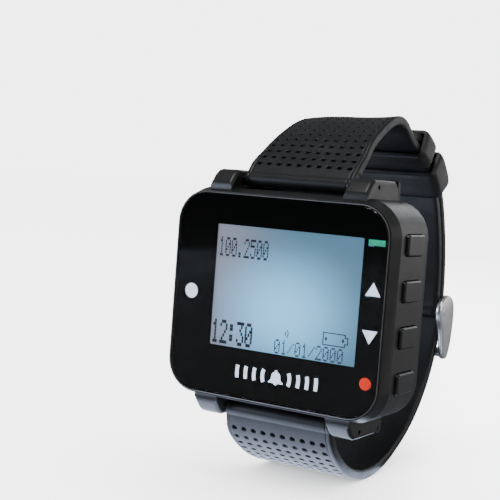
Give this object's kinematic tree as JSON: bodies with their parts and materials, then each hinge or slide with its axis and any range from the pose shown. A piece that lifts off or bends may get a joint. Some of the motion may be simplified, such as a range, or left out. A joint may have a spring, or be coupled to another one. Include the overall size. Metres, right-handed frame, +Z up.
{
  "type": "wrist pager",
  "caption": "Wrist-worn pager: rounded case with a wide display and side keys, on a perforated silicone strap closed into a loop by a tongue buckle.",
  "frame": {"origin": "centre of the bounding box in plan, at the lowest point of the strap loop", "axes": "+X to the side keys, +Y from the display back to the wrist, +Z up the display; the display faces -Y"},
  "size_m": [0.0538, 0.0704, 0.0818],
  "materials": {
    "case": "fine satin grain",
    "cover": "fine satin grain",
    "lens": "polished",
    "mask": "printed black",
    "icons": "printed inks",
    "adhesive": "foam",
    "display": "liquid crystal panel",
    "backlight": "diffuser film",
    "holder": "moulded",
    "pipe": "clear acrylic",
    "led": "clear epoxy",
    "board": "solder mask",
    "chips": "moulded epoxy",
    "shield": "tinned",
    "antenna": "enamelled copper wire",
    "switches": "moulded",
    "battery": "laminated foil pouch",
    "socket": "drawn shell",
    "buzzer": "moulded",
    "motor": "drawn can",
    "weight": "sintered tungsten alloy",
    "gasket": "silicone",
    "screws": "zinc plated",
    "keys": "satin",
    "bars": "stainless",
    "strap": "moulded silicone with dimples",
    "keepers": "moulded silicone",
    "buckle": "satin stainless"
  },
  "bodies": {
    "pager": {"front_housing": "case", "back_cover": "cover", "front_lens": "lens", "lens_mask": "mask", "front_icons": "icons", "lens_adhesive": "adhesive", "display_glass": "display", "backlight_panel": "backlight", "display_holder": "holder", "light_pipe": "pipe", "status_led": "led", "main_board": "board", "board_chips": "chips", "radio_shield": "shield", "antenna_coil": "antenna", "key_switches": "switches", "battery_cell": "battery", "charging_socket": "socket", "buzzer": "buzzer", "motor_can": "motor", "case_gasket": "gasket", "case_screws": "screws", "upper_spring_bar": "bars", "lower_spring_bar": "bars", "upper_strap": "strap", "lower_strap": "strap", "fixed_keeper": "keepers", "buckle_spring_bar": "bars"},
    "green_key": {"key_green": "keys"},
    "up_key": {"key_up": "keys"},
    "down_key": {"key_down": "keys"},
    "red_key": {"key_red": "keys"},
    "motor_rotor": {"motor_shaft": "bars", "motor_weight": "weight"},
    "strap_keeper": {"free_keeper": "keepers"},
    "buckle": {"buckle_frame": "buckle"},
    "tongue": {"buckle_tongue": "buckle"}
  },
  "joints": [
    {"name": "green_key_press", "type": "slide", "parent": "pager", "child": "green_key", "axis": [-1, 0, 0], "range_m": [0, 0.0005], "stiffness_N_per_m": 1500},
    {"name": "up_key_press", "type": "slide", "parent": "pager", "child": "up_key", "axis": [-1, 0, 0], "range_m": [0, 0.0005], "stiffness_N_per_m": 1500},
    {"name": "down_key_press", "type": "slide", "parent": "pager", "child": "down_key", "axis": [-1, 0, 0], "range_m": [0, 0.0005], "stiffness_N_per_m": 1500},
    {"name": "red_key_press", "type": "slide", "parent": "pager", "child": "red_key", "axis": [-1, 0, 0], "range_m": [0, 0.0005], "stiffness_N_per_m": 1500},
    {"name": "motor_spin", "type": "hinge", "parent": "pager", "child": "motor_rotor", "pos_m": [-0.00035, -0.024, 0.02502], "axis": [1, 0, 0], "continuous": true},
    {"name": "keeper_slide", "type": "hinge", "parent": "pager", "child": "strap_keeper", "pos_m": [-0.00035, -0.0017, 0.04982], "axis": [1, 0, 0], "range_deg": [-1.5, 6]},
    {"name": "buckle_swing", "type": "hinge", "parent": "pager", "child": "buckle", "pos_m": [-0.00035, 0.0279, 0.03593], "axis": [1, 0, 0], "range_deg": [0, 12]},
    {"name": "tongue_swing", "type": "hinge", "parent": "buckle", "child": "tongue", "pos_m": [-0.00035, 0.0279, 0.03593], "axis": [1, 0, 0], "range_deg": [0, 14]}
  ]
}
